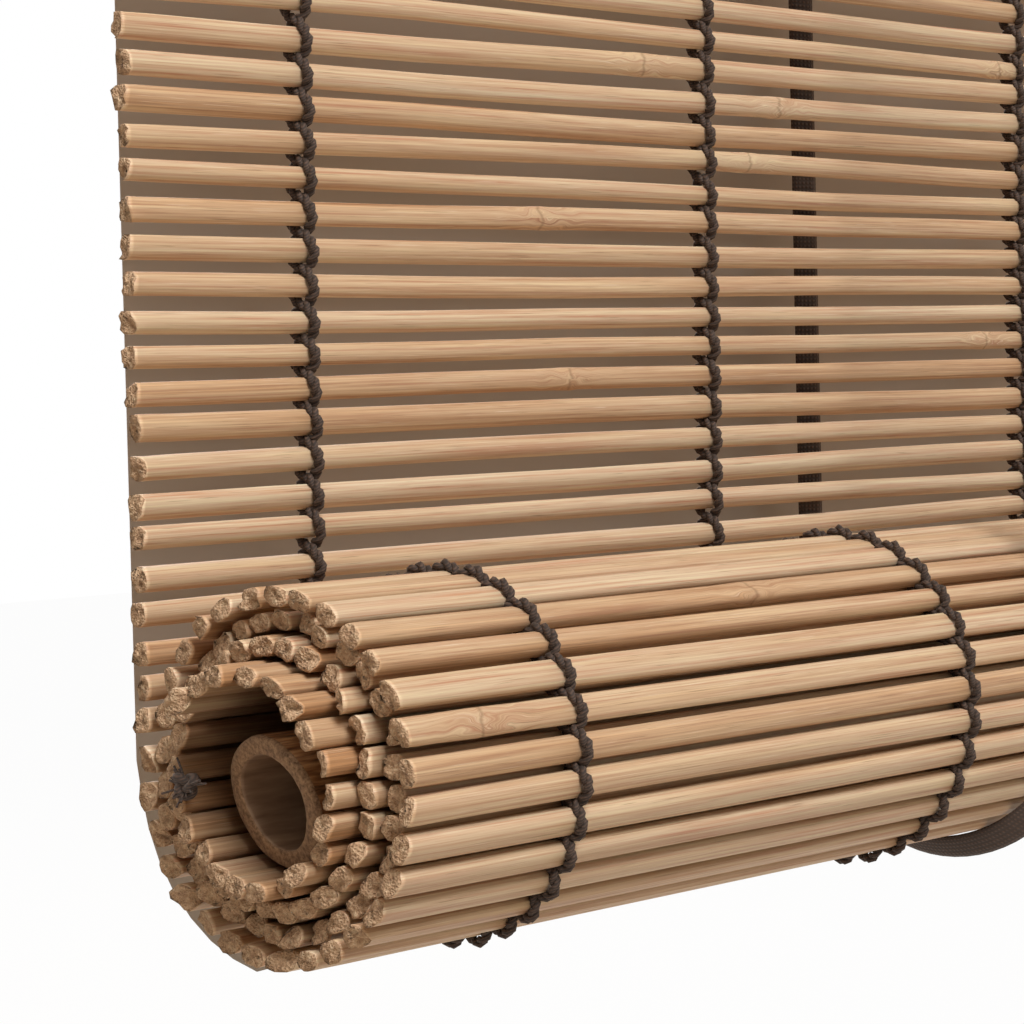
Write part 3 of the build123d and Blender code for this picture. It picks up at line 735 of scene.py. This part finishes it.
# %% Tie the warps
for number, place_x in enumerate(WARP_PLACES, 1):
    warp = plied_thread(f"warp_{number}", ply_paths(place_x, True), "head")
    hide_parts(f"warp_thread_{number}")
    roll_warp = plied_thread(f"roll_warp_{number}", ply_paths(place_x, False), "roll")
    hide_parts("roll_warp_threads")
print("faces in one warp:", len(warp.data.polygons), "on the roll:", len(roll_warp.data.polygons))

# %% [markdown]
# ## The bamboo tube
# A loose length of bamboo cane lies in the roll to weight it. Its skin is left on, orange brown and streaked,
# its sawn end shows a pale rim of packed fibres, and its bore is smooth and lighter. The profile of the wall
# is spun once round the tube's axis, and every vertex is then moved a little, because cane is never round.

# %% Spin the tube
tube_low, tube_high = box_mm("core_tube")
tube_low.x += 1.0
TUBE_WALL = 2.7
TUBE_KNOT_SWELL = 0.3
TUBE_STEPS = 48
TUBE_RINGS = 60
CUT_SLANT = math.tan(math.radians(17.5))
CUT_TURN = math.radians(25)
CUT_FADE = 16.0
tube_radius = (tube_high.z - tube_low.z) / 2 - TUBE_KNOT_SWELL
tube_z = (tube_high.z + tube_low.z) / 2
tube_y = (tube_high.y + tube_low.y) / 2
knot_x = tube_low.x + 0.62 * (tube_high.x - tube_low.x)

bm = bmesh.new()
outside = np.linspace(tube_low.x + 0.8, tube_high.x - 0.8, TUBE_RINGS)
wall_points = [(knot_x - 1.4, 0.0), (knot_x - 1.4, tube_radius - TUBE_WALL)]
wall_points += [(x, tube_radius - TUBE_WALL) for x in outside[::-1] if x < knot_x - 3]
wall_points += [(tube_low.x + 0.1, tube_radius - TUBE_WALL + 0.1), (tube_low.x, tube_radius - TUBE_WALL + 0.5)]
wall_points += [(tube_low.x, tube_radius - TUBE_WALL / 2), (tube_low.x, tube_radius - 0.3)]
wall_points += [(x, tube_radius) for x in outside]
wall_points += [(tube_high.x, tube_radius - 0.3), (tube_high.x, tube_radius - TUBE_WALL / 2)]
wall_points += [(tube_high.x, tube_radius - TUBE_WALL + 0.3)]
wall_points += [(x, tube_radius - TUBE_WALL) for x in outside[::-1] if x > knot_x + 3]
wall_points += [(knot_x + 1.4, tube_radius - TUBE_WALL), (knot_x + 1.4, 0.0)]
line = [bm.verts.new((x, 0, r)) for x, r in wall_points]
edges = [bm.edges.new(pair) for pair in zip(line, line[1:])]
bmesh.ops.spin(bm, geom=line + edges, cent=(0, 0, 0), axis=(1, 0, 0), angle=2 * math.pi,
               steps=TUBE_STEPS, use_merge=True)
bmesh.ops.remove_doubles(bm, verts=bm.verts, dist=0.01)
for face in bm.faces:
    face.smooth = True
    centre = face.calc_center_median()
    face.material_index = 2 if centre.yz.length < tube_radius - TUBE_WALL + 0.3 else 0
    if min(centre.x - tube_low.x, tube_high.x - centre.x) < 0.4:
        face.material_index = 1
for vert in bm.verts:
    x, y, z = vert.co
    turn = math.atan2(z, y)
    if vert.co.yz.length > 1:
        near = math.exp(-((x - knot_x) / 3) ** 2) * (vert.co.yz.length > tube_radius - 1)
        wide = 1 + 0.012 * math.sin(2 * turn + 1) + 0.008 * math.sin(5 * turn) + TUBE_KNOT_SWELL / tube_radius * near
        if vert.co.yz.length < tube_radius - TUBE_WALL + 0.2:
            wide += 0.03 * math.sin(turn + 0.6) + 0.02 * math.sin(3 * turn)
        vert.co.y, vert.co.z = y * wide * 0.985, z * wide * 0.985
    if min(x - tube_low.x, tube_high.x - x) < 0.9:
        vert.co.x += rng.uniform(0, 0.12)
    behind_top = tube_radius - (vert.co.z * math.cos(CUT_TURN) - vert.co.y * math.sin(CUT_TURN))
    vert.co.x += CUT_SLANT * behind_top * max(0, 1 - (x - tube_low.x) / CUT_FADE)
bmesh.ops.recalc_face_normals(bm, faces=bm.faces)
bmesh.ops.translate(bm, verts=bm.verts, vec=(0, tube_y, tube_z))
bmesh.ops.scale(bm, verts=bm.verts, vec=(MM, MM, MM))
tube_mesh = bpy.data.meshes.new("bamboo_tube")
bm.to_mesh(tube_mesh)
bamboo_tube = bpy.data.objects.new("bamboo_tube", tube_mesh)
bpy.context.scene.collection.objects.link(bamboo_tube)
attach(bamboo_tube, "roll")
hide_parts("core_tube")
print("tube faces:", len(tube_mesh.polygons))

# %% Finishes of the tube
def cane_finish(name, dark, mid, pale, along, round_it, depth, roughness):
    """Bamboo whose streaks run along X; along and round_it are the streaks' size in millimetres."""
    material, tree, shader = new_finish(name, Roughness=roughness)
    spot = add_node(tree, "ShaderNodeTexCoord", out="Object")
    size = (1 / (along * MM), 1 / (round_it * MM), 1 / (round_it * MM))
    drawn = add_node(tree, "ShaderNodeMapping", {"Vector": spot, "Scale": size})
    streak = add_node(tree, "ShaderNodeTexNoise", {"Vector": drawn, "Scale": 1.0, "Detail": 3.0, "Roughness": 0.65})
    colour = add_node(tree, "ShaderNodeValToRGB", {0: streak}, stops=((0.32, dark), (0.5, mid), (0.7, pale)))
    tree.links.new(colour, shader.inputs["Base Color"])
    bump = add_node(tree, "ShaderNodeBump", {"Height": streak, "Strength": 0.7, "Distance": depth * MM})
    tree.links.new(bump, shader.inputs["Normal"])
    return material


tube_mesh.materials.append(cane_finish("cane skin", "#38200e", "#8e5e36", "#c09060", 9.0, 0.7, 0.6, 0.5))
tube_mesh.materials.append(cane_finish("sawn cane rim", "#5a4029", "#86664a", "#a38260", 0.6, 0.6, 0.15, 0.8))
tube_mesh.materials.append(cane_finish("cane bore", "#745840", "#8d7058", "#a1856a", 14.0, 2.0, 0.04, 0.7))
print("tube finishes:", [m.name for m in tube_mesh.materials])

# %% [markdown]
# ## Lift tapes
# Each lift tape is a flat woven ribbon. It runs down behind the mat, under the roll and up the front, where it
# turns a quarter to lie on its pulley, and along under the rail into the cord lock. It is laid along the same
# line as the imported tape: the same rod mesh is flattened, and its rings are set across that line.

# %% Lay a tape along stations
TAPE_WIDTH = 6.0
TAPE_THICKNESS = 0.8
TAPE_SQUARENESS = 5.0


def lay_tape(name, body, centres, wides, node):
    """A ribbon through centres, with the direction of its width at each."""
    centres, wides = np.array(centres, float), np.array(wides, float)
    tape = Rods(rod_grid(12, len(centres), (0.3,)), 1)
    ahead = np.gradient(centres, axis=0)
    thins = np.cross(ahead, wides)
    thins /= np.linalg.norm(thins, axis=1)[:, None]
    corner = np.abs(np.cos(tape.turn)) ** TAPE_SQUARENESS + np.abs(np.sin(tape.turn)) ** TAPE_SQUARENESS
    reach = tape.reach * corner ** (-1 / TAPE_SQUARENESS)
    flat = (reach * np.cos(tape.turn) * TAPE_WIDTH / 2)[:, None] * wides[tape.ring]
    thick = (reach * np.sin(tape.turn) * TAPE_THICKNESS / 2)[:, None] * thins[tape.ring]
    place = centres[tape.ring] + flat + thick
    run = np.concatenate([[0], np.cumsum(np.linalg.norm(np.diff(centres, axis=0), axis=1))])
    girth = 2 * (TAPE_WIDTH + TAPE_THICKNESS)
    piece = tape.finish(name, place[None], run[tape.ring][None], girth, np.zeros((1, 2)), body)
    for _ in range(2):
        piece.data.materials.append(woven_tape)
    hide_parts(node)
    return piece


# %% Woven tape
RIB_SPACING = 0.7
woven_tape, tree, shader = new_finish("woven polyester tape", Roughness=0.72, Sheen_Weight=0.3,
                                      Sheen_Tint=rgb("#a08c7c"))
grain = add_node(tree, "ShaderNodeUVMap", uv_map="grain")
weft = add_node(tree, "ShaderNodeTexWave", {"Vector": grain, "Scale": WAVE_UNIT / RIB_SPACING, "Distortion": 0.4},
                out="Fac", bands_direction="X")
ribs = add_node(tree, "ShaderNodeTexWave", {"Vector": grain, "Scale": WAVE_UNIT / RIB_SPACING, "Distortion": 0.3},
                out="Fac", bands_direction="Y")
weave = add_node(tree, "ShaderNodeMath", {0: weft, 1: ribs}, operation="MULTIPLY")
dyed = add_node(tree, "ShaderNodeValToRGB", {0: weave}, stops=((0.0, "#33241a"), (0.5, "#402c20"), (1.0, "#523c2d")))
tree.links.new(dyed, shader.inputs["Base Color"])
bump = add_node(tree, "ShaderNodeBump", {"Height": weave, "Strength": 0.7, "Distance": 0.15 * MM})
tree.links.new(bump, shader.inputs["Normal"])
print("ribs", RIB_SPACING, "mm apart")

# %% The four runs of each tape
RUN_STATIONS = 24
BEND_STATIONS = 40
TWIST_LENGTH = 70.0
SLING_TIP = math.radians(37)
SLING_SLACK = 0.35
SLING_DRIFT = 4.0
TAPE_GAP = 0.3
SLING_RADIUS = ROLL_RADIUS + REED_DEPTH / 2 + TAPE_GAP + TAPE_THICKNESS / 2


for side in ("left", "right"):
    low, high = box_mm(f"lift_tape_{side}_rear")
    tape_x = (low.x + high.x) / 2
    rear_y = (low.y + high.y) / 2
    across_x = np.array((1.0, 0.0, 0.0))
    rear = [(tape_x, rear_y, z) for z in np.linspace(high.z, low.z, RUN_STATIONS)]
    tape_rear = lay_tape(f"tape_{side}_rear", "head", rear, [across_x] * RUN_STATIONS, f"lift_tape_{side}_rear")
    front_low, front_high = box_mm(f"lift_tape_{side}_front")
    pulley_y = sum(c.y for c in box_mm(f"pulley_{side}")) / 2
    pulley_z = sum(c.z for c in box_mm(f"pulley_{side}")) / 2
    reach_y, reach_z = AXIS_Y - pulley_y, pulley_z - AXIS_Z
    lean = math.pi / 2 - math.acos(SLING_RADIUS / math.hypot(reach_y, reach_z)) - math.atan2(reach_y, reach_z)
    turns = np.linspace(0, math.pi + lean, BEND_STATIONS)
    bulge = np.sin(np.linspace(0, math.pi, BEND_STATIONS))
    tips, radii = SLING_TIP * bulge, SLING_RADIUS + SLING_SLACK * bulge
    round_roll = np.column_stack([np.zeros(BEND_STATIONS), np.cos(turns), -np.sin(turns)])
    sling = round_roll * radii[:, None] + (tape_x, AXIS_Y, AXIS_Z) - bulge[:, None] * (SLING_DRIFT, 0, 0)
    tilted = round_roll * np.sin(tips)[:, None] + np.cos(tips)[:, None] * across_x
    lay_tape(f"tape_{side}_sling", "slings", sling, tilted, f"lift_tape_{side}_sling")
    foot, top = np.array(sling[-1]), np.array((tape_x, pulley_y, pulley_z))
    length = np.linalg.norm(top - foot)
    shares = np.concatenate([np.linspace(0, 1 - TWIST_LENGTH / length, RUN_STATIONS),
                             1 - TWIST_LENGTH / length * np.linspace(1, 0, RUN_STATIONS)[1:]])
    turned = [math.pi / 2 * max(0, 1 - (1 - s) * length / TWIST_LENGTH) for s in shares]
    wides = [(math.cos(t), math.sin(t) * math.cos(lean), -math.sin(t) * math.sin(lean)) for t in turned]
    tape_front = lay_tape(f"tape_{side}_front", "head", [foot + (top - foot) * s for s in shares], wides,
                          f"lift_tape_{side}_front")
    head_low, head_high = box_mm(f"lift_tape_{side}_head")
    print(side, "tape: lean", round(math.degrees(lean), 2), "head run", round(head_high.x - head_low.x), "mm")

# %% [markdown]
# ## What closes up when the roll rises
# The reeds and threads between the rail and the roll, and the straight runs of the tapes, get shorter as the
# roll climbs. On the real blind the mat winds onto the roll and the tapes run into the lock. A tree of joints
# can't grow the roll; here these pieces are only given meshes of their own.

# %% Own meshes for the pieces that close up
for piece in [reed_mat] + [bpy.data.objects[f"warp_{i}"] for i in range(1, len(WARP_PLACES) + 1)]:
    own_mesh(piece)
for side in ("left", "right"):
    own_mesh(bpy.data.objects[f"tape_{side}_rear"])
    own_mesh(bpy.data.objects[f"tape_{side}_front"])

# %% [markdown]
# ## Rail, batten and metalwork
# The photograph does not reach the rail, so it is finished plainly: oiled softwood for the rail and its batten,
# zinc plated steel for plates, rivets and screws, and moulded nylon for the pulleys, the roller and the cam.

# %% Oiled wood
# Planed pine, oiled to a satin brown: slow growth rings, fine pores along the rail and a soft gloss.
RING_SPACING = 3.2 * MM
PORE_LENGTH, PORE_WIDTH = 8.0 * MM, 0.3 * MM
LENGTHWISE = (0.06, 1.0, 1.0)
oiled_wood, tree, shader = new_finish("oiled pine", Roughness=0.5)
spot = add_node(tree, "ShaderNodeTexCoord", out="Object")
drawn = add_node(tree, "ShaderNodeMapping", {"Vector": spot, "Scale": LENGTHWISE})
warped = add_node(tree, "ShaderNodeTexNoise", {"Vector": drawn, "Scale": 60.0, "Detail": 2.0})
rings = add_node(tree, "ShaderNodeTexWave", {"Vector": drawn, "Scale": WAVE_UNIT / RING_SPACING, "Distortion": 9.0,
                                             "Detail": 2.0, "Detail Scale": 0.6}, out="Fac", bands_direction="DIAGONAL")
grain = add_node(tree, "ShaderNodeMapping", {"Vector": spot, "Scale": (1 / PORE_LENGTH, 1 / PORE_WIDTH, 1 / PORE_WIDTH)})
pores = add_node(tree, "ShaderNodeTexNoise", {"Vector": grain, "Scale": 1.0, "Detail": 2.0})
shade = add_node(tree, "ShaderNodeMath", {0: warped, 1: 0.65}, operation="MULTIPLY")
shade = add_node(tree, "ShaderNodeMath", {0: rings, 1: 0.25, 2: shade}, operation="MULTIPLY_ADD")
stain = add_node(tree, "ShaderNodeValToRGB", {0: shade}, stops=((0.2, "#c3a584"), (0.55, "#b39473"), (0.85, "#967556")))
speck = add_node(tree, "ShaderNodeValToRGB", {0: pores}, stops=((0.35, "#9c8f84"), (0.6, "#c4c2be")))
colour = add_node(tree, "ShaderNodeMix", {0: 0.6, 6: stain, 7: speck}, out=2, data_type="RGBA", blend_type="OVERLAY")
tree.links.new(colour, shader.inputs["Base Color"])
bump = add_node(tree, "ShaderNodeBump", {"Height": pores, "Strength": 0.4, "Distance": 0.08 * MM})
tree.links.new(bump, shader.inputs["Normal"])
print("growth rings", RING_SPACING / MM, "mm apart")

# %% Zinc plate
# Stamped steel, bright zinc plated and passivated: a pale grey metal with a slightly cloudy gloss.
CLOUD_SIZE = 3.8 * MM
zinc, tree, shader = new_finish("zinc plated steel", Metallic=1.0, Roughness=0.34)
spot = add_node(tree, "ShaderNodeTexCoord", out="Object")
bloom = add_node(tree, "ShaderNodeTexNoise", {"Vector": spot, "Scale": 1 / CLOUD_SIZE, "Detail": 3.0})
colour = add_node(tree, "ShaderNodeValToRGB", {0: bloom}, stops=((0.3, "#b4b5b2"), (0.7, "#cfd0cc")))
tree.links.new(colour, shader.inputs["Base Color"])
bump = add_node(tree, "ShaderNodeBump", {"Height": bloom, "Strength": 0.15, "Distance": 0.05 * MM})
tree.links.new(bump, shader.inputs["Normal"])
print("finish:", zinc.name)

# %% Nylon
# Injection moulded nylon, brown to match the tapes, with the faint mottle of a spark eroded mould.
MOTTLE_SIZE = 1.1 * MM
nylon, tree, shader = new_finish("moulded brown nylon", Roughness=0.42)
spot = add_node(tree, "ShaderNodeTexCoord", out="Object")
mottle = add_node(tree, "ShaderNodeTexNoise", {"Vector": spot, "Scale": 1 / MOTTLE_SIZE, "Detail": 2.0})
colour = add_node(tree, "ShaderNodeValToRGB", {0: mottle}, stops=((0.3, "#33261d"), (0.7, "#40322a")))
tree.links.new(colour, shader.inputs["Base Color"])
bump = add_node(tree, "ShaderNodeBump", {"Height": mottle, "Strength": 0.1, "Distance": 0.04 * MM})
tree.links.new(bump, shader.inputs["Normal"])
print("finish:", nylon.name)

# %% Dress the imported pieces
for node, finish in (("head_rail", oiled_wood), ("back_batten", oiled_wood), ("pulley_left", nylon),
                     ("pulley_right", nylon), ("lock_roller", nylon), ("lock_cam", nylon)):
    frame["nodes"][node].data.materials.clear()
    frame["nodes"][node].data.materials.append(finish)
for name, node in frame["nodes"].items():
    if any(word in name for word in ("screws", "axle", "bracket", "ear_plate", "lock_body")):
        node.data.materials.clear()
        node.data.materials.append(zinc)
    if name.startswith("lift_tape") and name.endswith("head"):
        node.data.materials.clear()
        node.data.materials.append(woven_tape)

# %% Finish
bpy.context.scene.view_settings.view_transform = "Standard"
